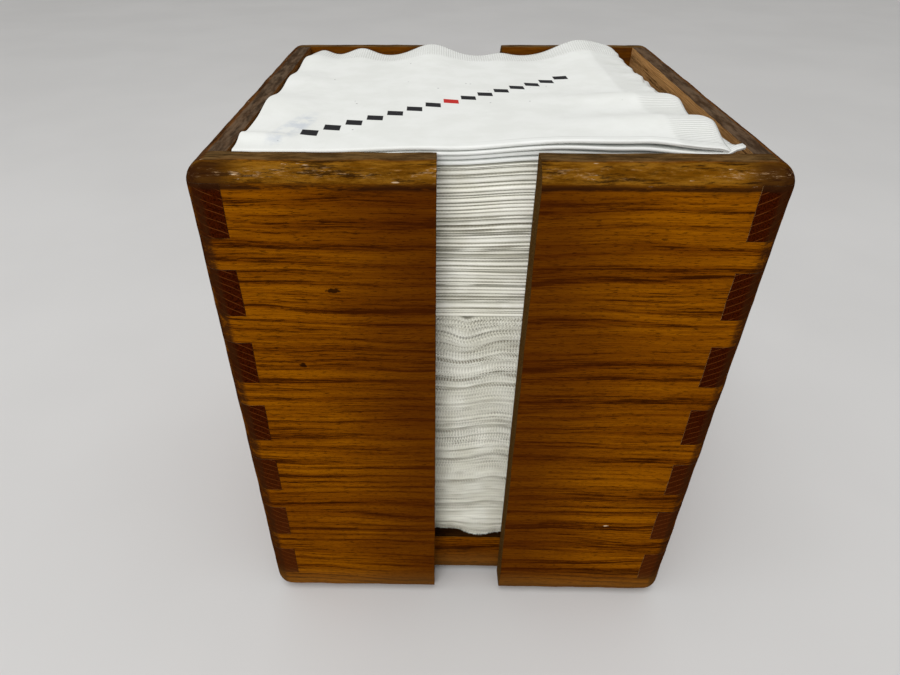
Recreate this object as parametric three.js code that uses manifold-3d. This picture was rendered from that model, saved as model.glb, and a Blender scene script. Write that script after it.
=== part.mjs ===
// A countertop napkin dispenser: an open-topped oak box with finger-jointed corners, a full-height
// slot in its front and in its back, a base board held off the table, and a stack of folded paper
// napkins that is lifted out at the top.
// Millimetres. +Z is up, the front faces -Y, and the origin is under the middle of the box.

import * as THREE from 'three';
import { RoundedBoxGeometry } from 'three/addons/geometries/RoundedBoxGeometry.js';
import { mergeVertices } from 'three/addons/utils/BufferGeometryUtils.js';
import Module from 'manifold-3d';

const wasm = await Module();
wasm.setup();

// The box
const WIDTH = 154; // outside, along X
const DEPTH = 147; // outside, along Y
const HEIGHT = 178;
const WALL = 10; // thickness of the wall boards
const SLOT = 26; // width of the slot between the two front boards, and between the two back ones
const ROUNDOVER = 6.35; // radius along every outer edge
const ROUNDOVER_STEPS = 5;
const INSIDE_X = WIDTH / 2 - WALL; // from the middle to a side board's inner face
const INSIDE_Y = DEPTH / 2 - WALL; // from the middle to a front or back board's inner face

// The finger joints of the four upright corners. A side board's fingers show on the front and the
// back as end grain, and the front and back boards' fingers fill the gaps between them.
const SIDE_FINGERS = 7;
const SIDE_FINGER = 14.9; // height of a side board's finger
const FRONT_FINGER = 9.6; // height of a front or back board's finger between two of those
const BOTTOM_FINGER = 11.5; // height of a front or back board's lowest finger
const GLUE_LINE = 0.1; // gap between two glued boards

// The base board, flush with the inner faces of the walls
const BASE_LIFT = 3; // from the table to its underside
const BASE_THICKNESS = 19;
const BASE_TOP = BASE_LIFT + BASE_THICKNESS;

// The brads that hold the base board, driven through the side boards and set below their faces
const BRAD_LENGTH = 32;
const BRAD_RADIUS = 0.8;
const BRAD_HEAD_RADIUS = 1.2;
const BRAD_HEAD_HEIGHT = 0.8;
const BRAD_POINT = 2.5; // length of the tapered point
const BRAD_SET = 0.5; // depth of the head below the side board's face
const BRAD_SIDES = 10;
const BRAD_GAP = 0.1; // clearance all round in its hole
const BRAD_Y = 40; // a brad is this far to the front and to the back of the middle
const BRAD_Z = BASE_LIFT + BASE_THICKNESS / 2;

// The napkins, folded in four, in bundles that lie on each other
const NAPKIN = 125; // side of a folded napkin
const NAPKIN_CORNER = 3; // radius of its corners
const NAPKIN_CORNER_STEPS = 3;
const NAPKIN_X = -1.5; // the stack stands a little nearer the left board
const BUNDLE_GAP = 0.3; // below each bundle
const LOWER_BUNDLES = 9; // of ten napkins each
const LOWER_BUNDLE = 11.65; // height of one, with its gap
const UPPER_BUNDLES = 9; // of five napkins each
const UPPER_BUNDLE = 5.2;
const LOOSE_NAPKINS = 3; // single ones, below the top napkin
const LOOSE_NAPKIN = 1.8;

const PAST = 1; // how far a cutting block runs past the face that it cuts

// ---------------------------------------------------------------- solids

// The closed solid of a geometry, with shared vertices merged and collapsed triangles dropped.
function toSolid(geometry) {
  geometry.deleteAttribute('normal');
  geometry.deleteAttribute('uv');
  const merged = mergeVertices(geometry);
  const index = merged.index.array;
  const triangles = [];
  for (let i = 0; i < index.length; i += 3) {
    const [a, b, c] = index.slice(i, i + 3);
    if (a !== b && b !== c && c !== a) {
      triangles.push(a, b, c);
    }
  }
  return new wasm.Manifold(new wasm.Mesh({
    numProp: 3,
    vertProperties: new Float32Array(merged.attributes.position.array),
    triVerts: new Uint32Array(triangles),
  }));
}

function toGeometry(solid) {
  const mesh = solid.getMesh();
  const geometry = new THREE.BufferGeometry();
  geometry.setAttribute('position', new THREE.BufferAttribute(mesh.vertProperties, 3));
  geometry.setIndex(new THREE.BufferAttribute(mesh.triVerts, 1));
  geometry.computeVertexNormals();
  return geometry;
}

// A block between two planes on each axis, given in either order.
function block(x, y, z) {
  const low = [x, y, z].map((pair) => Math.min(...pair));
  const high = [x, y, z].map((pair) => Math.max(...pair));
  const size = high.map((value, i) => value - low[i]);
  const middle = high.map((value, i) => (value + low[i]) / 2);
  const geometry = new THREE.BoxGeometry(...size);
  geometry.translate(...middle);
  return toSolid(geometry);
}

// The whole box's outer shape, with every outer edge rounded over.
function outerShape() {
  const geometry = new RoundedBoxGeometry(WIDTH, DEPTH, HEIGHT, ROUNDOVER_STEPS, ROUNDOVER);
  geometry.translate(0, 0, HEIGHT / 2);
  return toSolid(geometry);
}

// ---------------------------------------------------------------- finger joints

// The heights that each of a side board's fingers fills, from the bottom up.
function sideFingers() {
  const fingers = [];
  for (let i = 0; i < SIDE_FINGERS; i += 1) {
    const low = BOTTOM_FINGER + i * (SIDE_FINGER + FRONT_FINGER);
    fingers.push([low, low + SIDE_FINGER]);
  }
  return fingers;
}

// The heights left between them for the front and back boards' fingers.
function frontFingers() {
  const fingers = sideFingers();
  const lows = [-PAST, ...fingers.map(([, high]) => high)];
  const highs = [...fingers.map(([low]) => low), HEIGHT + PAST];
  return lows.map((low, i) => [low, highs[i]]);
}

// ---------------------------------------------------------------- boards

// Half of the front or back wall. x is -1 on the left and 1 on the right, and y is -1 on the front
// and 1 on the back.
function slotBoard(x, y) {
  let board = block([x * SLOT / 2, x * WIDTH / 2], [y * INSIDE_Y, y * DEPTH / 2], [0, HEIGHT]);
  for (const [low, high] of sideFingers()) {
    board = board.subtract(block(
      [x * (INSIDE_X - GLUE_LINE), x * (WIDTH / 2 + PAST)],
      [y * (INSIDE_Y - PAST), y * (DEPTH / 2 + PAST)],
      [low - GLUE_LINE, high + GLUE_LINE],
    ));
  }
  return toGeometry(board.intersect(outerShape()));
}

function sideBoard(x) {
  let board = block([x * INSIDE_X, x * WIDTH / 2], [-DEPTH / 2, DEPTH / 2], [0, HEIGHT]);
  for (const height of frontFingers()) {
    for (const y of [-1, 1]) {
      board = board.subtract(block(
        [x * (INSIDE_X - PAST), x * (WIDTH / 2 + PAST)],
        [y * (INSIDE_Y - GLUE_LINE), y * (DEPTH / 2 + PAST)],
        height,
      ));
    }
  }
  board = board.intersect(outerShape());
  for (const y of [-BRAD_Y, BRAD_Y]) {
    board = board.subtract(bradHole(x, y));
  }
  return toGeometry(board);
}

function baseBoard() {
  const x = INSIDE_X - GLUE_LINE;
  const y = INSIDE_Y - GLUE_LINE;
  let board = block([-x, x], [-y, y], [BASE_LIFT, BASE_TOP]);
  for (const side of [-1, 1]) {
    for (const at of [-BRAD_Y, BRAD_Y]) {
      board = board.subtract(bradHole(side, at));
    }
  }
  return toGeometry(board);
}

// ---------------------------------------------------------------- brads

// A brad along +Y with the top of its head at the origin, larger all round by grow.
function brad(grow) {
  const outline = [
    [0, -grow],
    [BRAD_HEAD_RADIUS + grow, -grow],
    [BRAD_HEAD_RADIUS + grow, BRAD_HEAD_HEIGHT + grow],
    [BRAD_RADIUS + grow, BRAD_HEAD_HEIGHT + grow],
    [BRAD_RADIUS + grow, BRAD_LENGTH - BRAD_POINT + grow],
    [0, BRAD_LENGTH + grow],
  ];
  return new THREE.LatheGeometry(outline.map(([r, y]) => new THREE.Vector2(r, y)), BRAD_SIDES);
}

// Where a brad stands: x is its side of the box, and y its place along the side board.
function placeBrad(object, x, y) {
  object.position.set(x * (WIDTH / 2 - BRAD_SET), y, BRAD_Z);
  object.rotation.z = x * Math.PI / 2;
  return object;
}

// The hole for a brad, open to the side board's outer face.
function bradHole(x, y) {
  const place = placeBrad(new THREE.Object3D(), x, y);
  place.updateMatrix();
  const hole = brad(BRAD_GAP).applyMatrix4(place.matrix);
  const mouth = new THREE.CylinderGeometry(
    BRAD_HEAD_RADIUS + BRAD_GAP, BRAD_HEAD_RADIUS + BRAD_GAP, PAST + BRAD_SET, BRAD_SIDES,
  );
  mouth.translate(0, -(PAST + BRAD_SET) / 2, 0);
  return toSolid(hole).add(toSolid(mouth.applyMatrix4(place.matrix)));
}

// ---------------------------------------------------------------- napkins

function napkinOutline() {
  const half = NAPKIN / 2;
  const straight = half - NAPKIN_CORNER;
  const outline = new THREE.Shape();
  outline.absarc(straight, straight, NAPKIN_CORNER, 0, Math.PI / 2);
  outline.absarc(-straight, straight, NAPKIN_CORNER, Math.PI / 2, Math.PI);
  outline.absarc(-straight, -straight, NAPKIN_CORNER, Math.PI, 1.5 * Math.PI);
  outline.absarc(straight, -straight, NAPKIN_CORNER, 1.5 * Math.PI, 2 * Math.PI);
  return outline;
}

function napkins(height) {
  return new THREE.ExtrudeGeometry(napkinOutline(), {
    depth: height - BUNDLE_GAP,
    bevelEnabled: false,
    curveSegments: NAPKIN_CORNER_STEPS,
  });
}

// ---------------------------------------------------------------- materials

function oak(color) {
  return new THREE.MeshStandardMaterial({ color, roughness: 0.42, metalness: 0 });
}

function steel() {
  return new THREE.MeshStandardMaterial({ color: 0x8f8d88, roughness: 0.4, metalness: 1 });
}

function tissue() {
  return new THREE.MeshStandardMaterial({ color: 0xf0f0ea, roughness: 0.95, metalness: 0 });
}

// ---------------------------------------------------------------- assembly

const dispenser = new THREE.Group();

function addPiece(name, geometry, material) {
  const mesh = new THREE.Mesh(geometry, material);
  mesh.name = name;
  dispenser.add(mesh);
  return mesh;
}

function addBoards() {
  const wallColor = 0x9c5a1c;
  const sideColor = 0x8a4f1b;
  addPiece('front_left_board', slotBoard(-1, -1), oak(wallColor));
  addPiece('front_right_board', slotBoard(1, -1), oak(wallColor));
  addPiece('back_left_board', slotBoard(-1, 1), oak(wallColor));
  addPiece('back_right_board', slotBoard(1, 1), oak(wallColor));
  addPiece('left_side_board', sideBoard(-1), oak(sideColor));
  addPiece('right_side_board', sideBoard(1), oak(sideColor));
  addPiece('base_board', baseBoard(), oak(sideColor));
}

function addBrads() {
  for (const [side, x] of [['left', -1], ['right', 1]]) {
    for (const [end, y] of [['front', -BRAD_Y], ['back', BRAD_Y]]) {
      placeBrad(addPiece(`${side}_${end}_brad`, brad(0), steel()), x, y);
    }
  }
}

// Lays one bundle, or one single napkin, on the stack and returns the height of its top.
function layNapkins(name, bottom, height) {
  const bundle = addPiece(name, napkins(height), tissue());
  bundle.position.set(NAPKIN_X, 0, bottom + BUNDLE_GAP);
  return bottom + height;
}

function addNapkins() {
  let top = BASE_TOP;
  for (let i = 1; i <= LOWER_BUNDLES; i += 1) {
    top = layNapkins(`lower_napkins_${i}`, top, LOWER_BUNDLE);
  }
  for (let i = 1; i <= UPPER_BUNDLES; i += 1) {
    top = layNapkins(`upper_napkins_${i}`, top, UPPER_BUNDLE);
  }
  for (let i = 1; i <= LOOSE_NAPKINS; i += 1) {
    top = layNapkins(`loose_napkin_${i}`, top, LOOSE_NAPKIN);
  }
  layNapkins('top_napkin', top, LOOSE_NAPKIN);
}

addBoards();
addBrads();
addNapkins();

export default dispenser;
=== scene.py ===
"""A finger-jointed oak napkin box and its stack of folded paper napkins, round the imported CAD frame."""
import math

import bpy
import numpy as np
from mathutils import Matrix, Vector, noise


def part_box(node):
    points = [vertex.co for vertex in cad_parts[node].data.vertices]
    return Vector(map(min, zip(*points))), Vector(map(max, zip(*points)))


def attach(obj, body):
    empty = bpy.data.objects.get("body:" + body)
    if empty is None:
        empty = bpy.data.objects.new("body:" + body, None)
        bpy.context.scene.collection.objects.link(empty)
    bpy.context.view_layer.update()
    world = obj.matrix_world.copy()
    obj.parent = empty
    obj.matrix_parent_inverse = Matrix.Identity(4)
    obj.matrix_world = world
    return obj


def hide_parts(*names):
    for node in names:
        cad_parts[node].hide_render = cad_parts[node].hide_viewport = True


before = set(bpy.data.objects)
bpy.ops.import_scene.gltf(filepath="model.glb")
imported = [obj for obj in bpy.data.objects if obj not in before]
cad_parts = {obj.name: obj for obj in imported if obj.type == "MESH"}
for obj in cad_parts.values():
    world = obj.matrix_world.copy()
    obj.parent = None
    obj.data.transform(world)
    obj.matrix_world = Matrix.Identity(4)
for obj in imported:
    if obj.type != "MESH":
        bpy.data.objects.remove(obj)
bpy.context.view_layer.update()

MM = 0.001

# ---------------------------------------------------------------------------
# Sizes, in millimetres: the outlines are read from the frame
# ---------------------------------------------------------------------------


def node_box(name):
    """Lowest and highest corner of a CAD node, in millimetres."""
    low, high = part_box(name)
    return np.array(low) / MM, np.array(high) / MM


LEFT_LOW, LEFT_HIGH = node_box("left_side_board")
RIGHT_LOW, RIGHT_HIGH = node_box("right_side_board")
PANEL_LOW, PANEL_HIGH = node_box("front_left_board")
BASE_LOW, BASE_HIGH = node_box("base_board")
BOX_LOW, BOX_HIGH = LEFT_LOW, RIGHT_HIGH
WALL = LEFT_HIGH[0] - LEFT_LOW[0]
HALF_SLOT = -PANEL_HIGH[0]
INSIDE = BOX_HIGH - WALL

ROUNDOVER = 6.35
SIDE_FINGERS = 7
SIDE_FINGER = 14.9
FINGER_PITCH = 24.5
FIRST_FINGER = 11.5
GLUE_LINE = 0.1
BRAD_HOLE_RADIUS = 1.35
BRAD_HOLE_REACH = 2.6
ARC_STEPS = 5
BOARD_CELL = 2.0
EDGE_SOFTENING = 0.22
DENT_SEED = 7

NAPKIN_LOW, NAPKIN_HIGH = node_box("lower_napkins_1")
NAPKIN_CENTRE = (NAPKIN_LOW + NAPKIN_HIGH) / 2
NAPKIN_HALF = (NAPKIN_HIGH[0] - NAPKIN_LOW[0]) / 2
NAPKIN_CORNER = 3.0
STACK_FOOT = NAPKIN_LOW[2]
PACK_SEAM = node_box("upper_napkins_1")[0][2]
LOOSE_FOOT = node_box("loose_napkin_1")[0][2]
BUNDLES = 9
RIB_PITCH = 0.95
DIP_X = -3.4
KNOT_X, KNOT_Z = -52.8, 116.5
GOUGE_X, GOUGE_Z = -41.3, 142.6

FRONT_FLAWS = (
    ((KNOT_X, BOX_LOW[1], KNOT_Z), (1.2, 2.0, 1.0)),
    ((GOUGE_X, BOX_LOW[1], GOUGE_Z), (2.3, 2.0, 0.9)),
)

FRONT_SCRATCHES = (((49.6, BOX_LOW[1], 43.1), (1.1, 2.0, 0.35)),)

LENS = 25.304
SENSOR = 36.0
CAMERA_PLACE = (-0.0118, -0.22215, 0.2338)
CAMERA_RIGHT = Vector((0.99980943, 0.01937364, -0.0024007))
CAMERA_UP = Vector((-0.00944278, 0.58757308, 0.80911601))
CAMERA_SHIFT = (0.0235, 0.0041)


# ---------------------------------------------------------------------------
# Meshes
# ---------------------------------------------------------------------------


def quad_object(name, points, quads, caps=()):
    """An object from points in millimetres, rows of four indices, and extra faces of any length."""
    mesh = bpy.data.meshes.new(name)
    faces = [list(q) for q in np.asarray(quads).tolist()] + [list(c) for c in caps]
    mesh.from_pydata((np.asarray(points) * MM).tolist(), [], faces)
    mesh.update()
    mesh.shade_smooth()
    made = bpy.data.objects.new(name, mesh)
    bpy.context.scene.collection.objects.link(made)
    return made


def put(obj, node, body, material):
    """Gives a piece its material and body, and hides the CAD node that it stands for."""
    obj.data.materials.append(material)
    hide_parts(node)
    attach(obj, body)


def smooth_step(value):
    value = np.clip(value, 0.0, 1.0)
    return value * value * (3.0 - 2.0 * value)


def bump(value, middle, width):
    return np.exp(-(((value - middle) / width) ** 2))


def ripple(rng, shortest, longest, count=5):
    """A smooth random curve of about unit height, as a sum of sines."""
    waves = 2 * math.pi / rng.uniform(shortest, longest, count)
    phases = rng.uniform(0, 2 * math.pi, count)

    def curve(along):
        along = np.asarray(along, float)
        return np.sin(along[..., None] * waves + phases).sum(-1) / math.sqrt(count)

    return curve


# ---------------------------------------------------------------------------
# Boards: filled cells of a grid, skinned, with the outer edges rounded over
# ---------------------------------------------------------------------------


def grid_line(low, high, marks, axis):
    """Grid positions from low to high: the marks, arc steps where the box is rounded, and cells between."""
    core_low, core_high = BOX_LOW[axis] + ROUNDOVER, BOX_HIGH[axis] - ROUNDOVER
    steps = ROUNDOVER * np.tan(np.linspace(0, math.pi / 4, ARC_STEPS + 1))
    fixed = np.concatenate([[low, high], marks, core_low - steps, core_high + steps])
    fixed = np.unique(np.round(fixed[(fixed >= low - 1e-6) & (fixed <= high + 1e-6)], 4))
    keep = [fixed[0]]
    for value in fixed[1:]:
        if value - keep[-1] > 0.02:
            keep.append(value)
    line = []
    for start, end in zip(keep, keep[1:]):
        cells = max(1, round((end - start) / BOARD_CELL))
        line += list(np.linspace(start, end, cells, endpoint=False))
    return np.array(line + [keep[-1]])


def skin(solid, lines):
    """The outer quads of the filled cells of a grid, with shared corners merged."""
    padded = np.pad(solid, 1)
    quads = []
    for axis in range(3):
        u, v = (axis + 1) % 3, (axis + 2) % 3
        for side in (0, 1):
            beyond = np.roll(padded, 1 - 2 * side, axis)[1:-1, 1:-1, 1:-1]
            cells = np.argwhere(solid & ~beyond)
            corners = []
            for du, dv in ((0, 0), (1, 0), (1, 1), (0, 1)):
                corner = cells.copy()
                corner[:, axis] += side
                corner[:, u] += du
                corner[:, v] += dv
                corners.append(corner)
            quads.append(np.stack(corners if side else corners[::-1], 1))
    quads = np.concatenate(quads)
    used, index = np.unique(quads.reshape(-1, 3), axis=0, return_inverse=True)
    points = np.stack([lines[axis][used[:, axis]] for axis in range(3)], 1)
    return points, index.reshape(-1, 4)


def round_over(points):
    """Moves points in the outer layer so that every outer edge of the box gets the same round."""
    core = np.clip(points, BOX_LOW + ROUNDOVER, BOX_HIGH - ROUNDOVER)
    reach = points - core
    longest = np.abs(reach).max(1)
    length = np.linalg.norm(reach, axis=1)
    share = np.divide(longest, length, out=np.ones_like(length), where=length > 1e-9)
    return core + reach * share[:, None]


def hand_wear(points):
    """Small shallow dents and a sanding wobble, strongest where the box is rounded."""
    core = np.clip(points, BOX_LOW + ROUNDOVER, BOX_HIGH - ROUNDOVER)
    reach = np.linalg.norm(points - core, axis=1) / ROUNDOVER
    moved = points.copy()
    for row, point in enumerate(points):
        wobble = noise.noise_vector(Vector(point) / 9.0) + 0.5 * noise.noise_vector(Vector(point) / 3.5)
        moved[row] += np.array(wobble) * (0.04 + 0.12 * min(reach[row], 1.0))
    moved[:, 2] = np.maximum(moved[:, 2], BOX_LOW[2])
    return moved


def finger_bottoms():
    return FIRST_FINGER + FINGER_PITCH * np.arange(SIDE_FINGERS)


def in_side_finger(height, slack):
    """True where a height lies in one of the side boards' fingers, widened by slack."""
    inside = np.zeros(height.shape, bool)
    for bottom in finger_bottoms():
        inside |= (height > bottom - slack) & (height < bottom + SIDE_FINGER + slack)
    return inside


def board(name, low, high, marks, filled, material, nailed=False):
    """One board: a box from low to high whose cells pass filled(x, y, z). Brads go through if nailed."""
    lines = [grid_line(low[axis], high[axis], marks[axis], axis) for axis in range(3)]
    middles = [(line[1:] + line[:-1]) / 2 for line in lines]
    x, y, z = np.meshgrid(*middles, indexing="ij")
    points, quads = skin(filled(x, y, z), lines)
    made = quad_object(name + "_oak", hand_wear(round_over(points)), quads)
    if nailed:
        cut_brad_holes(made, name)
    soften = made.modifiers.new("soft_edges", "BEVEL")
    soften.width = EDGE_SOFTENING * MM
    soften.segments = 2
    soften.limit_method = "ANGLE"
    soften.angle_limit = math.radians(40)
    soften.harden_normals = True
    put(made, name, "box", material)


def cut_brad_holes(board_object, name):
    """Round holes over the heads of the brads that go through a side board."""
    side = name.split("_")[0]
    for end in ("front", "back"):
        low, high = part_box(f"{side}_{end}_brad")
        middle = (low + high) / 2
        outer = low.x if side == "left" else high.x
        radius, depth = BRAD_HOLE_RADIUS * MM, BRAD_HOLE_REACH * MM
        bpy.ops.mesh.primitive_cylinder_add(vertices=24, radius=radius, depth=depth)
        cutter = bpy.context.object
        cutter.rotation_euler = (0, math.pi / 2, 0)
        cutter.location = (outer, middle.y, middle.z)
        cut = board_object.modifiers.new("brad_hole", "BOOLEAN")
        cut.object = cutter
        cut.operation = "DIFFERENCE"
        cut.solver = "EXACT"
        bpy.context.view_layer.objects.active = board_object
        bpy.ops.object.modifier_apply(modifier=cut.name)
        bpy.data.objects.remove(cutter, do_unlink=True)


def add_front_and_back(materials):
    """The four half walls, notched at the corners for the side boards' fingers."""
    marks_z = np.concatenate([finger_bottoms() - GLUE_LINE, finger_bottoms() + SIDE_FINGER + GLUE_LINE])
    for face, sign_y in (("front", -1), ("back", 1)):
        for side, sign_x in (("left", -1), ("right", 1)):
            name = f"{face}_{side}_board"
            notch = INSIDE[0] - GLUE_LINE
            across = sorted([sign_x * HALF_SLOT, sign_x * BOX_HIGH[0]])
            depth = sorted([sign_y * INSIDE[1], sign_y * BOX_HIGH[1]])

            def filled(x, y, z, sign_x=sign_x, notch=notch):
                return ~((x * sign_x > notch) & in_side_finger(z, GLUE_LINE))

            low = np.array([across[0], depth[0], BOX_LOW[2]])
            high = np.array([across[1], depth[1], BOX_HIGH[2]])
            marks = ([sign_x * notch], [], marks_z)
            board(name, low, high, marks, filled, materials[name])


def add_sides(materials):
    """The two whole side boards, with their fingers reaching through to the front and back faces."""
    marks_z = np.concatenate([finger_bottoms(), finger_bottoms() + SIDE_FINGER])
    for side, sign_x in (("left", -1), ("right", 1)):
        name = f"{side}_side_board"
        shoulder = INSIDE[1] - GLUE_LINE
        across = sorted([sign_x * INSIDE[0], sign_x * BOX_HIGH[0]])

        def filled(x, y, z, shoulder=shoulder):
            return (np.abs(y) < shoulder) | in_side_finger(z, 0.0)

        low = np.array([across[0], BOX_LOW[1], BOX_LOW[2]])
        high = np.array([across[1], BOX_HIGH[1], BOX_HIGH[2]])
        marks = ([], [-shoulder, shoulder], marks_z)
        board(name, low, high, marks, filled, materials[name], nailed=True)


def add_base(material):
    """The base board, held a little off the table."""

    def filled(x, y, z):
        return np.ones(x.shape, bool)

    board("base_board", BASE_LOW, BASE_HIGH, ([], [], []), filled, material)


# ---------------------------------------------------------------------------
# The lie of the stack: how far each point of it is lifted, in millimetres
# ---------------------------------------------------------------------------


def lower_lift(x, y, z):
    """A V-shaped dip and a hump beside it, in the crimped front edges under the seam of the packs."""
    depth = PACK_SEAM - z
    near_front = np.exp(-(y + NAPKIN_HALF) / 26.0)
    dip = 3.2 * smooth_step(depth / 6.0) * np.exp(-np.maximum(depth - 6, 0) / 18.0)
    dip = dip * bump(x, DIP_X, 5.0 + 0.16 * depth) + 1.3 * np.exp(-depth / 1.5) * bump(x, DIP_X, 2.0)
    hump_size = 2.1 * smooth_step((depth - 2.0) / 22.0) * smooth_step((z - STACK_FOOT) / 25.0)
    hump = hump_size * smooth_step((x + 8.0) / 16.0) * (1 - 0.35 * smooth_step((x - 8.0) / 8.0))
    foot = smooth_step((STACK_FOOT + 12.0 - z) / 12.0)
    curl = foot * (3.6 * smooth_step((2.0 - x) / 8.0) + 1.6 * smooth_step((x - 5.0) / 8.0))
    curl = curl + foot**4 * 0.35 * (1 + np.sin(x * 4.1 + 2.0 * np.sin(x * 1.3)))
    wave = 0.25 * np.sin(x / 6.0 + z / 11.0) * np.sin(math.pi * np.clip(depth / 105.0, 0, 1))
    return near_front * (smooth_step(depth / 1.2) * (hump + curl + wave) - dip)


def front_opening(x, y):
    """How far the top of the upper pack stands open at the front, towards the right of the slot."""
    near_front = np.exp(-(y + NAPKIN_HALF) / 40.0)
    return 1.3 * near_front * smooth_step((x + 10.0) / 24.0) * (1 - smooth_step((x - 16.0) / 20.0))


def upper_lift(x, y, z):
    """The upper pack leans down to the back and opens a little towards its top right."""
    rise = (z - PACK_SEAM) / (LOOSE_FOOT - PACK_SEAM)
    lean = -4.9 * rise * (y + NAPKIN_HALF) / (2 * NAPKIN_HALF)
    near_front = np.exp(-(y + NAPKIN_HALF) / 40.0)
    opening = front_opening(x, y) * smooth_step((rise - 0.3) / 0.6)
    wave = 0.12 * np.sin(x / 7.0 + z / 5.0) * np.sin(math.pi * np.clip(rise, 0, 1))
    return lean + opening + near_front * wave


def top_slope(y):
    """The single napkins lie lower towards the back."""
    return -4.3 * (y + NAPKIN_HALF) / (2 * NAPKIN_HALF)


def top_swell(x, y):
    """The waves of a single napkin: along its back edge and across its right edge."""
    from_back = NAPKIN_HALF - y
    # Along the back edge: where each wave is, its width to the left and the right, its height and its reach
    back = sum(
        size * bump(x, middle, np.where(x < middle, left, right)) * np.exp(-np.maximum(from_back, 0) / reach)
        for middle, left, right, size, reach in (
            (-61.0, 4.0, 4.0, 1.9, 14.0),
            (-45.0, 6.5, 6.5, 3.0, 20.0),
            (-16.0, 10.0, 10.0, 4.7, 26.0),
            (12.0, 5.5, 5.5, 1.2, 14.0),
            (44.0, 12.0, 19.0, 6.4, 34.0),
        )
    )
    drift = 0.12 * (61.0 - x)
    fade = smooth_step((x - 8.0) / 50.0)
    crests = 3.4 * bump(y, -46.5 + drift * 0.4, 8.5) + 2.7 * bump(y, -19.0 + drift, 7.0)
    ragged = smooth_step((x - 48.0) / 12.0) * (0.35 * np.sin(y / 2.1) + 0.3 * np.sin(y / 1.2 + 1.0))
    ragged = ragged * smooth_step((y + 12.0) / 20.0)
    ridge = 0.7 * smooth_step((x - 25) / 30) * bump(y, 18.0, 10.0)
    # Along the left wall: where each wave is, its width and its height
    waves = ((-53.0, 3.5, 1.3), (-20.0, 11.0, 2.0), (13.0, 11.0, 1.7), (44.0, 13.0, 2.2))
    against_wall = sum(size * bump(y, middle, width) for middle, width, size in waves)
    left = smooth_step((-46.0 - x) / 18.0) * against_wall
    return back + fade * crests + ragged + ridge + left


def front_swell(x, y):
    """The rise of the loose napkins' front folds over the right of the slot."""
    width = np.where(x < 38.0, 20.0, 11.0)
    near_front = np.exp(-(y + NAPKIN_HALF) / 22.0)
    return near_front * (1.9 * bump(x, 38.0, width) - 0.9 * smooth_step((-18.0 - x) / 26.0))


# ---------------------------------------------------------------------------
# Bundles of napkins
# ---------------------------------------------------------------------------

SLOT_STEP = 0.25
SIDE_STEP = 4.0
FINE_REACH = HALF_SLOT + 1.6
ROWS = 12
GROOVE = 1.3
FOLD_TURN = 1.35
BUNDLE_SLACK = 0.03
CUT_LAYERS = 4


def side_stations():
    """Positions along one side of a napkin: close together behind the slot and wide apart elsewhere."""
    straight = NAPKIN_HALF - NAPKIN_CORNER
    fine = np.linspace(-FINE_REACH, FINE_REACH, round(2 * FINE_REACH / SLOT_STEP) + 1)
    count = round((straight - FINE_REACH) / SIDE_STEP) + 1
    outer = np.linspace(FINE_REACH, straight, count)[1:]
    return np.concatenate([-outer[::-1], fine, outer])


def napkin_outline():
    """Points, outward normals and side numbers (0 front, 1 right, 2 back, 3 left) round a napkin."""
    straight = NAPKIN_HALF - NAPKIN_CORNER
    points, normals, sides = [], [], []
    for side in range(4):
        turn = side * math.pi / 2
        out = np.array([math.sin(turn), -math.cos(turn)])
        along = np.array([math.cos(turn), math.sin(turn)])
        if side % 2:
            stations = np.linspace(-straight, straight, round(2 * straight / SIDE_STEP) + 1)
        else:
            middle = NAPKIN_CENTRE[0] * (1 if side == 0 else -1)
            stations = side_stations()
            fine = np.abs(stations) < FINE_REACH + 1e-6
            stations = np.where(fine, stations - middle, stations)
            stations = np.sort(np.clip(stations, -straight, straight))
        for place in stations:
            points.append(out * NAPKIN_HALF + along * place)
            normals.append(out)
            sides.append(side)
        for step in (1, 2, 3):
            angle = turn + step * math.pi / 8
            arm = np.array([math.sin(angle), -math.cos(angle)])
            points.append(out * straight + along * straight + arm * NAPKIN_CORNER)
            normals.append(arm)
            sides.append(side)
    return np.array(points), np.array(normals), np.array(sides)


OUTLINE, OUTWARD, SIDE = napkin_outline()
BEHIND_SLOT = np.abs(OUTLINE[:, 0] + NAPKIN_CENTRE[0]) < FINE_REACH
SLOT_SHARE = np.where((SIDE % 2 == 0) & BEHIND_SLOT, 1.0, 0.0)
ALONG = np.concatenate([[0.0], np.cumsum(np.linalg.norm(np.diff(OUTLINE, axis=0), axis=1))])


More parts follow.
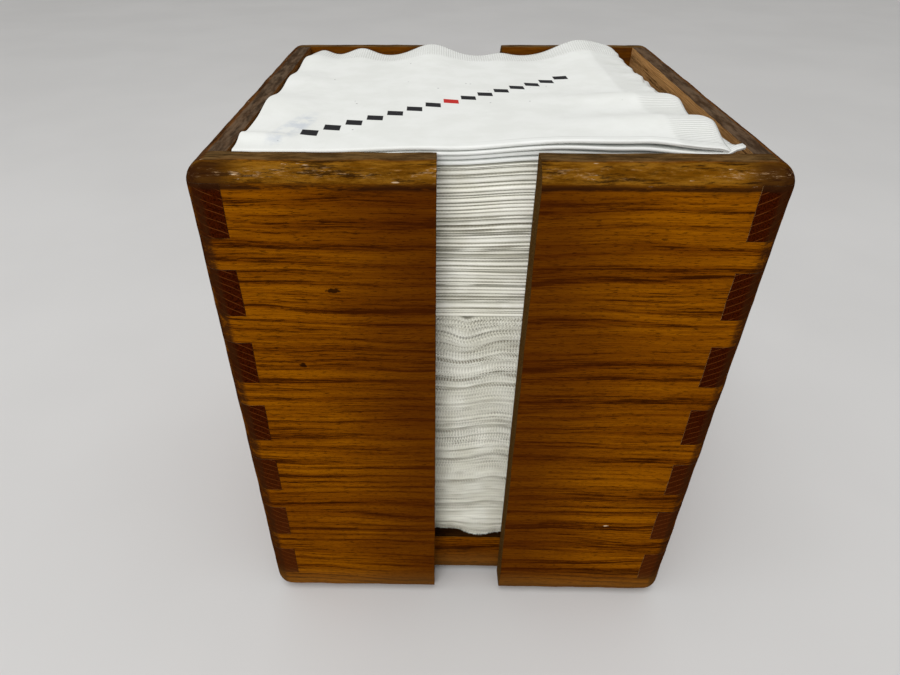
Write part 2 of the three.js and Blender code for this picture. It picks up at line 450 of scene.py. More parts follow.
def napkin_rows(rng, thickness, cut):
    """Depth, height and painted shade of the rows of one napkin's edge: a fold, or four cut layers."""
    angles = np.linspace(-FOLD_TURN, FOLD_TURN, ROWS - 1)
    fold_height = 0.5 + 0.5 * np.sin(angles) / math.sin(FOLD_TURN)
    fold_depth = thickness * 0.62 * (1 - np.cos(angles))
    # Painted shade: a fold darkens where it turns into the gaps above and below it, with a thin dark ply line
    # or two.
    fold_shade = np.repeat(0.5 * np.abs(angles[:, None] / FOLD_TURN) ** 5, len(ALONG), 1)
    for line in rng.integers(2, 9, 2):
        fold_shade[line] += rng.uniform(0.0, 0.35) * np.clip(ripple(rng, 9, 40)(ALONG), 0, 1)
    cut_height, cut_depth, cut_edge_shade = [], [], []
    for layer in range(CUT_LAYERS):
        back = rng.uniform(0.0, 0.45) + 0.14 * ripple(rng, 5, 24)(ALONG)
        slack = rng.uniform(0.06, 0.3)
        cut_height += [(layer + slack) / CUT_LAYERS, (layer + 1 - slack) / CUT_LAYERS]
        cut_depth += [back, back + 0.04]
        # Painted shade: a layer set further back is darker, and so is the groove between two layers.
        cut_edge_shade += [0.6 * back, 0.4 * back]
        if layer < CUT_LAYERS - 1:
            cut_height.append((layer + 1) / CUT_LAYERS)
            cut_depth.append(back + 0.5)
            cut_edge_shade.append(rng.uniform(0.1, 1.3) * np.clip(0.8 + 0.5 * ripple(rng, 4, 20)(ALONG), 0, 1.2))
    height = np.where(cut[None, :], np.array(cut_height)[:, None], fold_height[:, None])
    depth = np.where(cut[None, :], np.array(cut_depth), fold_depth[:, None])
    dark = np.where(cut[None, :], np.array(cut_edge_shade), fold_shade)
    return depth, height, dark


def bundle(node, body, foot, pitch, napkins, open_side, lift, rng, material):
    """A closed mesh of several napkins on top of each other, each with its own edge, and painted shade kept
    per point.
    """
    shares = rng.lognormal(0, 0.4, napkins)
    levels = np.concatenate([[0], np.cumsum(shares) / shares.sum()])
    heights = foot + BUNDLE_SLACK + (pitch - 2 * BUNDLE_SLACK) * levels
    cut = np.isin(SIDE, open_side)
    flat_row = np.zeros(len(OUTLINE))
    rows, places, row_shade, phases = [], [], [], []
    for napkin in range(napkins):
        bottom, top = heights[napkin], heights[napkin + 1]
        gap = rng.choice([0.16, 0.3, 0.6], p=[0.35, 0.35, 0.3])
        depth, height, dark = napkin_rows(rng, top - bottom, cut)
        shift = np.clip(rng.normal(0, 0.28, 2), -0.45, 0.45)
        turn = rng.normal(0, 0.0012)
        moved = OUTLINE + shift + turn * OUTLINE[:, ::-1] * [-1, 1]
        phase = 2 * math.pi * ALONG / RIB_PITCH + rng.uniform(0, 6.3) + 0.8 * ripple(rng, 5, 15)(ALONG)
        crimp = np.sin(phase) * SLOT_SHARE * np.where(cut, rng.uniform(0.14, 0.3), 0.015)
        opened = np.clip(gap * (1 + 0.45 * ripple(rng, 12, 40)(ALONG)), 0.05, 0.7)
        # Painted shade: the wider the gap between two napkins, the darker the rows beside it and the gap row.
        dark[[0, -1]] += np.where(cut, 1.1 * opened, 0.0)
        level = bottom + opened / 2 + (top - bottom - opened) * height + crimp
        places.append(moved - OUTWARD * GROOVE)
        rows.append(np.full(len(OUTLINE), bottom))
        row_shade.append(np.clip(0.45 + 1.3 * opened, 0, 1))
        for k in range(ROWS - 1):
            places.append(moved - OUTWARD * (depth[k] + np.where(cut, 0.9, 0.5) * crimp)[:, None])
            rows.append(level[k])
            row_shade.append(dark[k])
        phases += [phase] * ROWS
    places.append(OUTLINE - OUTWARD * GROOVE)
    rows.append(np.full(len(OUTLINE), heights[-1]))
    # Painted shade on the top ring of rows, darkest in the void at the dip of the lower pack.
    dip_shade = bump(OUTLINE[:, 0] + NAPKIN_CENTRE[0], DIP_X, 2.0) * (SIDE == 0)
    row_shade.append(np.maximum(0.3, dip_shade if lift is lower_lift else flat_row))
    caps = [OUTLINE * share for share in (0.96, 0.9, 0.8, 0.68, 0.54, 0.4, 0.24, 0.08)]
    places = caps[::-1] + places + caps
    under = [np.full(len(OUTLINE), heights[0])] * len(caps)
    over = [np.full(len(OUTLINE), heights[-1])] * len(caps)
    rows = under + rows + over
    row_shade = [flat_row] * len(caps) + row_shade + [flat_row] * len(caps)
    phases = [flat_row] * len(caps) + phases + [flat_row] * (len(caps) + 1)
    flat = np.stack(places) + NAPKIN_CENTRE[:2]
    level = np.stack(rows)
    level = level + lift(flat[..., 0], flat[..., 1], level)
    points = np.concatenate([flat, level[..., None]], 2).reshape(-1, 3)
    across = len(OUTLINE)
    start = np.arange(len(rows) - 1)[:, None] * across
    here, there = np.arange(across), (np.arange(across) + 1) % across
    quads = np.stack([start + here, start + there, start + across + there, start + across + here], 2)
    ends = (list(range(across))[::-1], list(range((len(rows) - 1) * across, len(rows) * across)))
    made = quad_object(node + "_paper", points, quads.reshape(-1, 4), ends)
    ribbed = np.broadcast_to(np.where(cut, 0.65, 0.1), level.shape)
    # The edge attribute holds the painted shade, the share of ribs and the rib phase of each point.
    edge = np.stack([np.stack(row_shade), ribbed, np.stack(phases)], 2)
    kept = made.data.attributes.new("edge", "FLOAT_VECTOR", "POINT")
    kept.data.foreach_set("vector", edge.astype(np.float32).ravel())
    put(made, node, body, material)


def add_packs(material):
    """The lower pack has its cut edges to the front and left, the upper pack to the right and back."""
    rng = np.random.default_rng(41)
    lower_pitch = (PACK_SEAM - STACK_FOOT) / BUNDLES
    upper_pitch = (LOOSE_FOOT - PACK_SEAM) / BUNDLES
    for k in range(BUNDLES):
        node, foot = f"lower_napkins_{k + 1}", STACK_FOOT + k * lower_pitch
        bundle(node, "lower_pack", foot, lower_pitch, 10, (0, 3), lower_lift, rng, material)
    for k in range(BUNDLES):
        node, foot = f"upper_napkins_{k + 1}", PACK_SEAM + k * upper_pitch
        bundle(node, "upper_pack", foot, upper_pitch, 5, (1, 2), upper_lift, rng, material)


# ---------------------------------------------------------------------------
# Single napkins: one sheet each, folded twice
# ---------------------------------------------------------------------------

SHEET = 250.0
PAPER = 0.09


def sheet_line(fold_half, fine, coarse):
    """Positions across a flat sheet: close at the fold, fine on the upper half, coarse on the lower."""
    edge = SHEET / 2
    low = np.linspace(-edge, -fold_half, round((edge - fold_half) / coarse) + 1)
    fold = np.linspace(-fold_half, fold_half, 13)[1:-1]
    high = np.linspace(fold_half, edge, round((edge - fold_half) / fine) + 1)
    return np.concatenate([low, fold, high])


def folded_sheet(node, body, left, front, layer, surface, fine, coarse, material):
    """A square sheet folded in half at its left and again at its front, lying on surface(x, y)."""
    first_half = 0.5 * layer * math.pi / 2
    line_u = sheet_line(first_half, fine, coarse)
    line_v = sheet_line(1.5 * layer * math.pi / 2, fine, coarse)
    u, v = np.meshgrid(line_u, line_v, indexing="ij")
    first = np.clip(u / first_half, -1, 1) * math.pi / 2
    radius = layer * (1 + 0.5 * np.sin(first))
    second_half = radius * math.pi / 2
    second = np.clip(v / second_half, -1, 1) * math.pi / 2
    x = left + 0.5 * layer * (1 - np.cos(first)) + np.maximum(np.abs(u) - first_half, 0)
    y = front + 1.5 * layer - radius * np.cos(second) + np.maximum(np.abs(v) - second_half, 0)
    z = radius * np.sin(second)
    x, y, z = surface(x, y, z)
    points = np.stack([x, y, z], 2).reshape(-1, 3)
    rows, columns = u.shape
    here = (np.arange(rows - 1)[:, None] * columns + np.arange(columns - 1)).ravel()
    quads = np.stack([here, here + 1, here + columns + 1, here + columns], 1)
    made = quad_object(node + "_paper", points, quads)
    flat = made.data.attributes.new("flat", "FLOAT_VECTOR", "POINT")
    flat.data.foreach_set("vector", np.stack([u, v, 0 * u], 2).astype(np.float32).ravel())
    thick = made.modifiers.new("paper", "SOLIDIFY")
    thick.thickness = PAPER * MM
    thick.offset = 0
    put(made, node, body, material)


def add_single_napkins(material, printed):
    """Three loose napkins and the one that shows, each with more of the waves than the one under it."""
    pitch = 1.3
    # Node, body, where its left and front folds are, its share of the waves, and the piece it lies on
    spots = (
        ("loose_napkin_1", "loose_napkins", -63.9, -62.6, 0.12, "upper_napkins_9_paper"),
        ("loose_napkin_2", "loose_napkins", -64.6, -62.2, 0.28, "loose_napkin_1_paper"),
        ("loose_napkin_3", "loose_napkins", -60.0, -62.9, 0.5, "loose_napkin_2_paper"),
        ("top_napkin", "top_napkin", -65.8, -62.7, 1.0, "loose_napkin_3_paper"),
    )
    for row, (node, body, left, front, share, below) in enumerate(spots):
        top = row == len(spots) - 1
        layer = 0.35 if top else 0.3
        middle = LOOSE_FOOT + 0.1 + pitch * (row + 0.5)

        def surface(x, y, z, row=row, share=share, middle=middle, top=top):
            swell = share * top_swell(x, y) + (0.25 + 0.25 * row) * front_swell(x, y) + front_opening(x, y)
            right = smooth_step(x / 60.0)
            if top:
                pulled = -2.6 * smooth_step((20.0 - y) / 60.0) * right
                droop = 1.1 * np.maximum((x - 55.5) / 4.0, 0) ** 2
            else:
                pulled = 3.4 * smooth_step((y + 61.0) / 15.0) * right
                corner = smooth_step((x - 61.0) / 3.0) * smooth_step((-57.0 - y) / 4.0)
                droop = -1.9 * max(row - 1, 0) * corner
            return x - pulled, y, z + middle + top_slope(y) + swell - droop

        fine, coarse = (1.0, 4.0) if top else (2.0, 4.0)
        look = printed if top else material
        folded_sheet(node, body, left, front, layer, surface, fine, coarse, look)


# ---------------------------------------------------------------------------
# Materials
# ---------------------------------------------------------------------------


class Shader:
    """A material's node tree, with short calls that add a node and give back its output."""

    def __init__(self, name):
        self.material = bpy.data.materials.new(name)
        self.material.use_nodes = True
        self.tree = self.material.node_tree
        self.surface = self.tree.nodes["Principled BSDF"]

    def plug(self, socket, value):
        if isinstance(value, bpy.types.NodeSocket):
            self.tree.links.new(value, socket)
        else:
            socket.default_value = value

    def node(self, kind, output, inputs, **settings):
        made = self.tree.nodes.new(kind)
        for key, value in settings.items():
            setattr(made, key, value)
        for key, value in inputs.items():
            self.plug(made.inputs[key], value)
        return made.outputs[output]

    def set(self, **values):
        """Sets or links sockets of the shader: underscores stand for spaces."""
        for key, value in values.items():
            self.plug(self.surface.inputs[key.replace("_", " ")], value)

    def place(self):
        return self.node("ShaderNodeTexCoord", "Object", {})

    def place_mm(self):
        return self.times(self.place(), (1000.0, 1000.0, 1000.0))

    def facing(self):
        return self.node("ShaderNodeTexCoord", "Normal", {})

    def split(self, vector):
        made = self.tree.nodes.new("ShaderNodeSeparateXYZ")
        self.tree.links.new(vector, made.inputs[0])
        return made.outputs[0], made.outputs[1], made.outputs[2]

    def join(self, x, y, z):
        return self.node("ShaderNodeCombineXYZ", 0, {0: x, 1: y, 2: z})

    def math(self, operation, a, b=0.0, c=0.0):
        return self.node("ShaderNodeMath", 0, {0: a, 1: b, 2: c}, operation=operation)

    def times(self, vector, factors):
        return self.node("ShaderNodeVectorMath", 0, {0: vector, 1: factors}, operation="MULTIPLY")

    def plus(self, vector, other):
        return self.node("ShaderNodeVectorMath", 0, {0: vector, 1: other}, operation="ADD")

    def noise(self, where, scale=1.0, detail=2.0, roughness=0.5, distortion=0.0):
        inputs = {"Vector": where, "Scale": scale, "Detail": detail, "Roughness": roughness}
        return self.node("ShaderNodeTexNoise", 0, {**inputs, "Distortion": distortion})

    def cells(self, where, scale=1.0, randomness=1.0):
        inputs = {"Vector": where, "Scale": scale, "Randomness": randomness}
        return self.node("ShaderNodeTexVoronoi", "Distance", inputs)

    def ramp(self, value, low, high, start=0.0, end=1.0):
        """start below low, end above high, and a smooth step between."""
        inputs = {"Value": value, "From Min": low, "From Max": high, "To Min": start, "To Max": end}
        return self.node("ShaderNodeMapRange", 0, inputs, interpolation_type="SMOOTHSTEP")

    def mix(self, share, a, b, blend="MIX"):
        made = self.tree.nodes.new("ShaderNodeMix")
        made.data_type = "RGBA"
        made.blend_type = blend
        self.plug(made.inputs[0], share)
        self.plug(made.inputs[6], a)
        self.plug(made.inputs[7], b)
        return made.outputs[2]

    def relief(self, height, distance, strength, below=None):
        inputs = {"Height": height, "Distance": distance, "Strength": strength}
        if below is not None:
            inputs["Normal"] = below
        return self.node("ShaderNodeBump", 0, inputs)


def tone(red, green, blue):
    return (red, green, blue, 1.0)


TAN = tone(0.8, 0.46, 0.18)
UMBER = tone(0.32, 0.15, 0.05)
SIENNA = tone(0.13, 0.045, 0.009)
AMBER = tone(0.18, 0.06, 0.004)
RUSSET = tone(0.06, 0.015, 0.001)
GREY_TOP = (0.12, 0.083, 0.053)


def oak(name, along, seed, slot_stain=0.9, top=(0.14, 0.082, 0.03), bare=(UMBER, SIENNA)):
    """Varnished oak, stained and worn, with painted shade and painted highlights in places. Its grain runs
    along one axis, and all of it depends on place only.
    """
    s = Shader(name)
    x, y, z = s.split(s.place_mm())
    nx, ny, nz = s.split(s.facing())
    run, side = (x, y) if along == "x" else (y, s.math("MULTIPLY", s.math("ABSOLUTE", x), -1.0))
    cross = s.plus(s.join(run, side, z), (seed * 37.0, seed * 11.0, seed * 23.0))
    colour, pores, fibre, warp, streak = long_grain(s, cross)
    slot_shade = s.ramp(s.math("ABSOLUTE", x), HALF_SLOT, HALF_SLOT + 42.0, slot_stain, 0.0)
    colour = s.mix(slot_shade, colour, s.mix(0.75, colour, tone(0.05, 0.01, 0.001)))
    ends = s.ramp(s.math("ABSOLUTE", nx if along == "x" else ny), 0.6, 0.85)
    colour = s.mix(ends, colour, end_grain(s, cross, z, warp))
    inward = s.math("MULTIPLY", ny, s.math("SIGN", y))
    if along == "y":
        inward = s.math("MULTIPLY", nx, s.math("SIGN", x))
    inner = s.math("MULTIPLY", inward, -1.0)
    inside = s.mix(s.ramp(fibre, 0.3, 0.7), bare[0], bare[1])
    inside = s.mix(s.math("MULTIPLY", streak, 0.8), inside, tone(0.07, 0.025, 0.008))
    colour = s.mix(s.ramp(inner, 0.5, 0.9, 0.0, 0.85), colour, inside)
    slot_cut = s.math("MULTIPLY", ends, s.math("LESS_THAN", s.math("ABSOLUTE", x), HALF_SLOT + 1.0))
    cut_tone = s.mix(s.ramp(fibre, 0.4, 0.6), tone(0.05, 0.022, 0.004), tone(0.15, 0.082, 0.024))
    colour = s.mix(s.math("MULTIPLY", slot_cut, 0.85), colour, cut_tone)
    colour = wear_and_painted_light(s, cross, colour, x, (nx, ny, nz), top)
    scuffed = s.math("MULTIPLY", s.ramp(z, 3.0, 17.0, 0.55, 0.0), s.ramp(fibre, 0.3, 0.6, 0.5, 1.0))
    colour = s.mix(scuffed, colour, tone(0.17, 0.082, 0.02))
    colour = s.mix(flaws(s, x, y, z, FRONT_FLAWS), colour, tone(0.012, 0.003, 0.001))
    colour = s.mix(flaws(s, x, y, z, FRONT_SCRATCHES), colour, tone(0.6, 0.42, 0.26))
    flat_top = s.ramp(nz, 0.95, 0.995)
    rough = s.math("MULTIPLY_ADD", flat_top, 0.25, s.ramp(fibre, 0.3, 0.7, 0.34, 0.5))
    s.set(Base_Color=colour, Roughness=rough, Specular_IOR_Level=0.0)
    dents = s.noise(s.times(cross, (0.3, 0.8, 0.8)), 1.0, 2.0)
    grooves = s.math("MULTIPLY_ADD", pores, -0.8, fibre)
    s.set(Normal=s.relief(grooves, 0.00016, 0.6, s.relief(dents, 0.0004, 0.25)))
    return s.material


def long_grain(s, cross):
    """Amber wood with long dark growth lines in clusters, fine fibres and short open pores."""
    warp = s.noise(s.times(cross, (0.01, 0.04, 0.04)), 1.0, 2.0)
    sway = s.noise(s.times(cross, (0.022, 0.02, 0.03)), 1.0, 2.0)
    cross = s.plus(cross, s.join(0.0, 0.0, s.math("MULTIPLY", sway, 2.6)))
    along, across, height = s.split(cross)
    bent = s.math("MULTIPLY_ADD", warp, 14.0, height)
    far = s.math("ADD", across, 55.0)
    radius = s.math("SQRT", s.math("ADD", s.math("MULTIPLY", bent, bent), s.math("MULTIPLY", far, far)))
    growth = s.noise(s.join(s.math("MULTIPLY", along, 0.014), 0.0, radius), 0.34, 3.0, 0.6)
    lines = s.noise(s.times(cross, (0.034, 1.3, 2.8)), 1.0, 6.0, 0.78)
    fibre = s.noise(s.times(cross, (0.07, 2.6, 5.0)), 1.0, 4.0, 0.7)
    patch = s.noise(s.times(cross, (0.02, 0.04, 0.05)), 1.0, 3.0)
    colour = s.mix(s.ramp(growth, 0.36, 0.64), tone(0.29, 0.092, 0.001), tone(0.14, 0.035, 0.0006))
    colour = s.mix(s.ramp(lines, 0.42, 0.66, 0.0, 0.8), colour, tone(0.072, 0.014, 0.0005))
    colour = s.mix(s.ramp(fibre, 0.45, 0.72, 0.0, 0.5), colour, tone(0.325, 0.108, 0.001))
    colour = s.mix(s.ramp(patch, 0.4, 0.66, 0.0, 0.5), colour, tone(0.1, 0.022, 0.0006))
    cluster = s.math("MULTIPLY_ADD", growth, 0.9, -0.45)
    streak = s.noise(s.times(cross, (0.07, 0.9, 2.2)), 1.0, 6.0, 0.78)
    streak = s.ramp(s.math("ADD", streak, cluster), 0.53, 0.62)
    colour = s.mix(s.math("MULTIPLY", streak, 0.85), colour, tone(0.02, 0.0034, 0.0004))
    pores = s.ramp(s.noise(s.times(cross, (0.4, 2.6, 4.2)), 1.0, 2.0), 0.58, 0.68)
    colour = s.mix(s.math("MULTIPLY", pores, 0.7), colour, tone(0.016, 0.003, 0.0004))
    return colour, pores, fibre, warp, streak


def end_grain(s, cross, z, warp):
    """Dark red-brown cut ends with thin pale slanting rings, lighter towards the foot of the box."""
    _, across, height = s.split(cross)
    ring = s.math("MULTIPLY_ADD", across, 0.5, height)
    arc = s.math("PINGPONG", s.math("MULTIPLY_ADD", warp, 4.0, s.math("MULTIPLY", ring, 0.8)), 1.0)
    specks = s.noise(s.times(cross, (0.5, 2.4, 2.4)), 1.0, 3.0, 0.7)
    colour = s.mix(s.ramp(specks, 0.4, 0.65), tone(0.044, 0.0062, 0.0006), tone(0.013, 0.0018, 0.0003))
    colour = s.mix(s.ramp(z, 20.0, 110.0, 0.35, 0.0), colour, tone(0.1, 0.027, 0.005))
    broken = s.ramp(s.noise(s.times(cross, (0.1, 0.35, 0.35)), 1.0, 2.0), 0.22, 0.5)
    rings = s.math("MULTIPLY", s.ramp(arc, 0.86, 1.0, 0.0, 0.7), broken)
    return s.mix(rings, colour, tone(0.17, 0.05, 0.01))


def wear_and_painted_light(s, cross, colour, x, facing, top):
    """Rubbed amber and black stains on the round, a dark line under it, a dull top (near black on the base:
    painted shade), painted shade on the side rounds, and painted highlights on the crown and chips.
    """
    nx, ny, nz = facing
    worn = s.noise(s.times(cross, (0.09, 0.4, 0.4)), 1.0, 5.0, 0.72)
    band = s.math("MULTIPLY", s.ramp(nz, 0.1, 0.42), s.ramp(nz, 0.93, 0.99, 1.0, 0.0))
    amber = s.mix(s.ramp(worn, 0.38, 0.62), tone(0.11, 0.042, 0.002), tone(0.25, 0.112, 0.01))
    rubbed = s.math("MULTIPLY", band, s.ramp(s.math("ABSOLUTE", ny), 0.05, 0.3, 0.3, 0.8))
    colour = s.mix(rubbed, colour, amber)
    # Painted shade: the rounds that face the sides are darkened.
    side_round_shade = s.math("MULTIPLY", band, s.ramp(s.math("ABSOLUTE", ny), 0.05, 0.3, 0.75, 0.0))
    colour = s.mix(side_round_shade, colour, tone(0.075, 0.04, 0.02))
    stains = s.noise(s.times(cross, (0.06, 0.5, 0.5)), 1.0, 6.0, 0.78)
    stained = s.math("MULTIPLY", s.ramp(stains, 0.5, 0.6), s.ramp(nz, 0.05, 0.4))
    colour = s.mix(s.math("MULTIPLY", stained, 0.85), colour, tone(0.016, 0.006, 0.002))
    under = s.math("MULTIPLY", s.ramp(nz, 0.02, 0.1), s.ramp(nz, 0.12, 0.34, 1.0, 0.0))
    broken = s.ramp(s.noise(s.times(cross, (0.05, 0.2, 0.2)), 1.0, 4.0, 0.7), 0.34, 0.48)
    line = s.math("MULTIPLY", s.math("MULTIPLY", under, broken), 0.9)
    colour = s.mix(line, colour, tone(0.02, 0.006, 0.002))
    corner = s.math("MULTIPLY", s.math("ABSOLUTE", nx), s.math("ABSOLUTE", ny))
    handled = s.math("MULTIPLY", s.ramp(corner, 0.08, 0.34), s.ramp(stains, 0.4, 0.56, 0.4, 0.92))
    colour = s.mix(handled, colour, tone(0.035, 0.011, 0.003))
    end_of_round = s.ramp(s.math("ADD", s.math("ABSOLUTE", x), s.math("MULTIPLY", worn, 12.0)), 66.0, 75.0)
    grubby = s.math("MULTIPLY", end_of_round, s.ramp(nz, 0.03, 0.25))
    grubby = s.math("MULTIPLY", grubby, s.ramp(s.math("ABSOLUTE", ny), 0.1, 0.5, 0.2, 0.85))
    colour = s.mix(grubby, colour, tone(0.03, 0.01, 0.003))
    # The flat tops take the top colour; on the base this near-black colour is painted shade under the
    # napkins.
    dull = s.mix(s.ramp(worn, 0.38, 0.62), tone(*(0.33 * value for value in top)), tone(*top))
    colour = s.mix(s.ramp(nz, 0.95, 0.995, 0.0, 0.9), colour, dull)
    # Pale patches on the crown of the round: bare wood, partly a painted highlight along the ridge.
    rubs = s.noise(s.times(cross, (0.3, 1.8, 1.8)), 1.0, 6.0, 0.8)
    crown = s.math("MULTIPLY", s.ramp(nz, 0.4, 0.6), s.ramp(nz, 0.7, 0.88, 1.0, 0.0))
    crown = s.math("MULTIPLY", crown, s.ramp(worn, 0.44, 0.54))
    bared_and_highlight = s.math("MULTIPLY", crown, s.ramp(rubs, 0.52, 0.64, 0.0, 0.75))
    colour = s.mix(bared_and_highlight, colour, tone(0.4, 0.25, 0.13))
    # Pale chips on the round: worn-through finish, partly painted glints of light.
    chips = s.cells(s.times(cross, (0.16, 0.7, 0.9)), 1.0)
    rubbed_round = s.math("MULTIPLY", band, s.ramp(worn, 0.54, 0.58))
    chips_and_glints = s.math("MULTIPLY", s.ramp(chips, 0.1, 0.2, 0.9, 0.0), rubbed_round)
    return s.mix(chips_and_glints, colour, tone(0.55, 0.4, 0.26))


def flaws(s, x, y, z, spots):
    """Mask of small marks, each an ellipsoid with a frayed outline."""
    marks = None
    frayed = s.noise(s.join(x, y, z), 0.9, 3.0, 0.7)
    for place, reach in spots:
        parts = []
        for value, middle, size in zip((x, y, z), place, reach):
            part = s.math("MULTIPLY", s.math("SUBTRACT", value, middle), 1 / size)
            parts.append(s.math("MULTIPLY", part, part))
        apart = s.math("ADD", s.math("ADD", parts[0], parts[1]), parts[2])
        mark = s.ramp(s.math("MULTIPLY_ADD", frayed, 3.0, apart), 1.9, 2.6, 0.9, 0.0)
        marks = mark if marks is None else s.math("MAXIMUM", marks, mark)
    return marks


def paper_base(s, light, dark):
    """Soft tissue between two near whites: fine fibres, faint mottling and a few specks."""
    here = s.place_mm()
    fibres = s.noise(here, 2.2, 5.0, 0.7)
    mottle = s.noise(here, 0.09, 3.0, 0.6)
    colour = s.mix(s.ramp(mottle, 0.35, 0.65), dark, light)
    colour = s.mix(s.ramp(fibres, 0.5, 0.8, 0.0, 0.25), colour, s.mix(0.2, dark, tone(0.2, 0.2, 0.15)))
    specks = s.cells(here, 0.11)
    colour = s.mix(s.ramp(specks, 0.025, 0.045, 0.7, 0.0), colour, tone(0.12, 0.12, 0.13))
    s.set(Roughness=0.92, Specular_IOR_Level=0.2)
    return fibres, colour


def paper():
    """The paper of the packs, with painted shade in the gaps, grooves and rib hollows of their edges."""
    s = Shader("tissue_paper")
    fibres, colour = paper_base(s, tone(0.93, 0.925, 0.84), tone(0.83, 0.82, 0.72))
    dark, ribbed, phase = s.split(s.node("ShaderNodeAttribute", "Vector", {}, attribute_name="edge"))
    dots = s.math("MULTIPLY_ADD", s.math("SINE", phase), 0.5, 0.5)
    # Painted shade from the edge attribute, broken up along the ribs, with a little more in the rib hollows.
    shade = s.math("MULTIPLY", dark, s.math("SUBTRACT", 1.0, s.math("MULTIPLY", ribbed, dots)))
    hollows = s.math("MULTIPLY", ribbed, s.math("SUBTRACT", 1.0, dots))
    shade = s.math("MULTIPLY_ADD", hollows, 0.08, shade)
    colour = s.mix(s.math("MINIMUM", shade, 1.0), colour, tone(0.13, 0.11, 0.06))
    s.set(Base_Color=colour, Normal=s.relief(fibres, 0.00006, 0.5))
    return s.material


def ribbed_paper(name, printed):
    """A single napkin: pressed ribs along its cut edges, with painted shade in their troughs, and on the
    printed one a row of lozenges.
    """
    s = Shader(name)
    fibres, colour = paper_base(s, tone(0.8, 0.815, 0.79), tone(0.76, 0.775, 0.745))
    u, v, _ = s.split(s.node("ShaderNodeAttribute", "Vector", {}, attribute_name="flat"))
    half, border = SHEET / 2, 14.0
    ribs = []
    for from_edge, beside in ((u, v), (v, u)):
        reach = s.math("SUBTRACT", half, s.math("ABSOLUTE", from_edge))
        band = s.ramp(reach, border - 2.5, border, 1.0, 0.0)
        wave = s.math("SINE", s.math("MULTIPLY", beside, 2 * math.pi / RIB_PITCH))
        ribs.append(s.math("MULTIPLY", band, wave))
    rib = s.math("ADD", ribs[0], ribs[1])
    # Painted shade in the troughs of the pressed ribs.
    colour = s.mix(s.ramp(rib, -1.0, 0.0, 0.28, 0.0), colour, tone(0.5, 0.5, 0.46))
    if printed:
        smear_u, smear_v, smear_width, smear_length = 8.7, 18.0, 5.0, 18.0
        lean = s.math("MULTIPLY_ADD", v, -0.21, u)
        smear_across = s.math("MULTIPLY", s.math("SUBTRACT", lean, smear_u), 1 / smear_width)
        smear_along = s.math("MULTIPLY", s.math("SUBTRACT", v, smear_v), 1 / smear_length)
        squares = s.math("MULTIPLY", smear_along, smear_along)
        reach = s.math("MULTIPLY_ADD", smear_across, smear_across, squares)
        blotchy = s.ramp(s.noise(s.join(u, v, 0.0), 0.22, 3.0, 0.6), 0.35, 0.65)
        smear = s.math("MULTIPLY", s.ramp(reach, 0.1, 1.0, 0.5, 0.0), blotchy)
        colour = s.mix(smear, colour, tone(0.42, 0.48, 0.58))
        # Painted shade along a faint line just behind the front fold, towards the right.
        crease_v = 3.4
        crease_shade = s.ramp(s.math("ABSOLUTE", s.math("SUBTRACT", v, crease_v)), 0.1, 0.35, 0.3, 0.0)
        crease_shade = s.math("MULTIPLY", crease_shade, s.ramp(u, 55.0, 80.0))
        colour = s.mix(crease_shade, colour, tone(0.3, 0.3, 0.28))
        ink, red = lozenges(s, u, v)
        colour = s.mix(ink, colour, s.mix(red, tone(0.012, 0.012, 0.014), tone(0.5, 0.02, 0.015)))
    soft = s.relief(fibres, 0.00006, 0.4)
    s.set(Base_Color=colour, Normal=s.relief(rib, 0.00012, 0.8, soft))
    return s.material


def lozenges(s, u, v):
    """A slanting row of lozenges: the mask of them all, and the mask of the middle one, which is red."""
    slant, middle_u, middle_v = math.radians(40.0), 57.0, 47.0
    count, pitch, half_width, half_height = 15, 7.3, 3.1, 3.9
    du, dv = s.math("SUBTRACT", u, middle_u), s.math("SUBTRACT", v, middle_v)
    cosine, sine = math.cos(slant), math.sin(slant)
    run = s.math("MULTIPLY_ADD", du, cosine, s.math("MULTIPLY", dv, sine))
    rise = s.math("MULTIPLY_ADD", dv, cosine, s.math("MULTIPLY", du, -sine))
    cell = s.math("SUBTRACT", s.math("FRACT", s.math("MULTIPLY_ADD", run, 1 / pitch, 0.5)), 0.5)
    across = s.math("MULTIPLY", s.math("ABSOLUTE", cell), pitch / half_width)
    up = s.math("MULTIPLY", s.math("ABSOLUTE", rise), 1 / half_height)
    shape = s.ramp(s.math("ADD", across, up), 0.94, 1.0, 1.0, 0.0)
    near = s.math("LESS_THAN", s.math("ABSOLUTE", run), count / 2 * pitch)
    red = s.math("LESS_THAN", s.math("ABSOLUTE", run), pitch / 2)
    return s.math("MULTIPLY", shape, near), red


def brad_steel():
    """Dull wire-nail steel with rust spots."""
    s = Shader("brad_steel")
    here = s.place_mm()
    rust = s.noise(here, 1.6, 3.0)
    colour = s.mix(s.ramp(rust, 0.5, 0.65), tone(0.3, 0.28, 0.25), tone(0.12, 0.05, 0.02))
    s.set(Base_Color=colour, Metallic=1.0, Roughness=s.ramp(rust, 0.3, 0.7, 0.35, 0.7))
    return s.material


def floor_look():
    """Pale painted table top."""
    s = Shader("pale_floor")
    here = s.place()
    shade = s.noise(here, 6.0, 3.0)
    s.set(Base_Color=s.mix(s.ramp(shade, 0.3, 0.7), tone(0.65, 0.647, 0.642), tone(0.68, 0.677, 0.672)))
    s.set(Roughness=0.6, Specular_IOR_Level=0.3)
    return s.material


# ---------------------------------------------------------------------------
# Stage
# ---------------------------------------------------------------------------


def add_camera():
    data = bpy.data.cameras.new("camera")
    data.lens = LENS
    data.sensor_width = SENSOR
    data.shift_x, data.shift_y = CAMERA_SHIFT
    data.clip_start = 0.01
    camera = bpy.data.objects.new("camera", data)
    bpy.context.scene.collection.objects.link(camera)
    back = CAMERA_RIGHT.cross(CAMERA_UP)
    turn = Matrix((CAMERA_RIGHT, CAMERA_UP, back)).transposed()
    camera.matrix_world = Matrix.Translation(CAMERA_PLACE) @ turn.to_4x4()
    bpy.context.scene.camera = camera


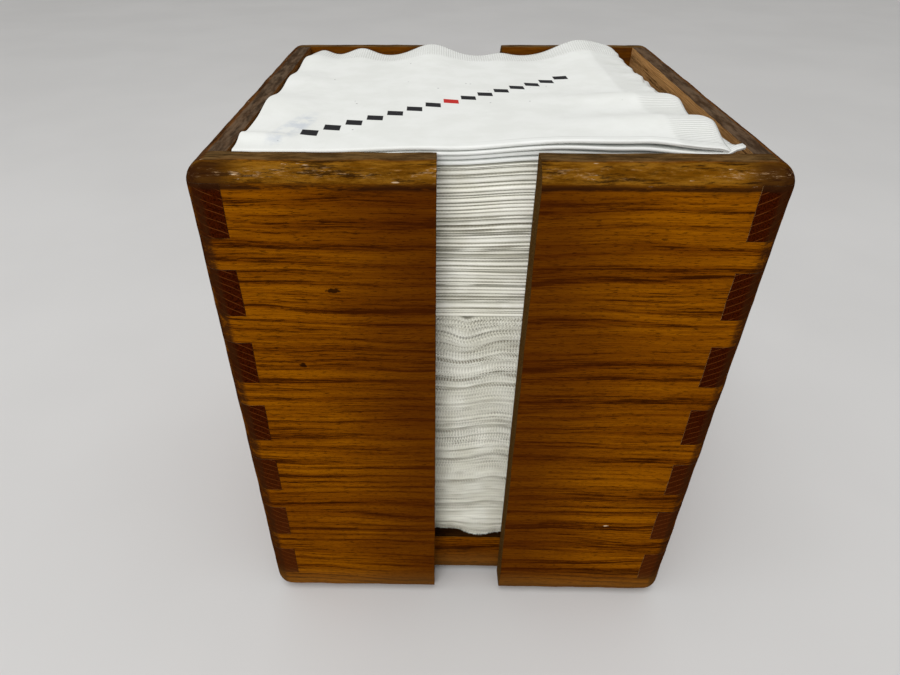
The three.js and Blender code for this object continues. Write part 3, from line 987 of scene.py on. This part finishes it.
def add_floor():
    reach = 6.0
    mesh = bpy.data.meshes.new("floor")
    corners = [(-reach, -reach, 0), (reach, -reach, 0), (reach, reach, 0), (-reach, reach, 0)]
    mesh.from_pydata(corners, [], [(0, 1, 2, 3)])
    floor = bpy.data.objects.new("floor", mesh)
    floor.data.materials.append(floor_look())
    bpy.context.scene.collection.objects.link(floor)


def add_area(name, place, size, power, aim=(0.0, 0.0, 0.09)):
    data = bpy.data.lights.new(name, "AREA")
    data.shape = "DISK"
    data.size = size
    data.energy = power
    light = bpy.data.objects.new(name, data)
    light.location = place
    light.rotation_euler = (Vector(aim) - Vector(place)).to_track_quat("-Z", "Y").to_euler()
    bpy.context.scene.collection.objects.link(light)


def add_light():
    world = bpy.data.worlds.new("studio")
    world.use_nodes = True
    world.node_tree.nodes["Background"].inputs[0].default_value = tone(1.0, 0.99, 0.975)
    world.node_tree.nodes["Background"].inputs[1].default_value = 0.56
    bpy.context.scene.world = world
    add_area("ceiling", (-0.2, -0.35, 1.5), 1.0, 6.5)
    add_area("window", (-0.4, -1.5, 1.0), 0.9, 11.5)
    bpy.context.scene.view_settings.view_transform = "Standard"


def add_box():
    """The boards and their brads. The seed keeps the dents the same from run to run."""
    noise.seed_set(DENT_SEED)
    woods = {
        "front_left_board": oak("oak_front_left", "x", 1.3),
        "front_right_board": oak("oak_front_right", "x", 2.1),
        "back_left_board": oak("oak_back_left", "x", 3.7, bare=(AMBER, RUSSET)),
        "back_right_board": oak("oak_back_right", "x", 4.9, bare=(AMBER, RUSSET)),
        "left_side_board": oak("oak_left", "y", 5.2, top=GREY_TOP),
        "right_side_board": oak("oak_right", "y", 6.8, top=GREY_TOP, bare=(TAN, UMBER)),
    }
    add_front_and_back(woods)
    add_sides(woods)
    # The base's near-black top colour is painted shade, where its top lies in shadow under the napkins.
    add_base(oak("oak_base", "x", 8.4, slot_stain=0.0, top=(0.02, 0.009, 0.003)))
    steel = brad_steel()
    for side in ("left", "right"):
        for end in ("front", "back"):
            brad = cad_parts[f"{side}_{end}_brad"]
            for place in brad.material_slots:
                place.material = steel


add_camera()
add_floor()
add_light()
add_box()
add_packs(paper())
add_single_napkins(ribbed_paper("loose_paper", False), ribbed_paper("top_paper", True))
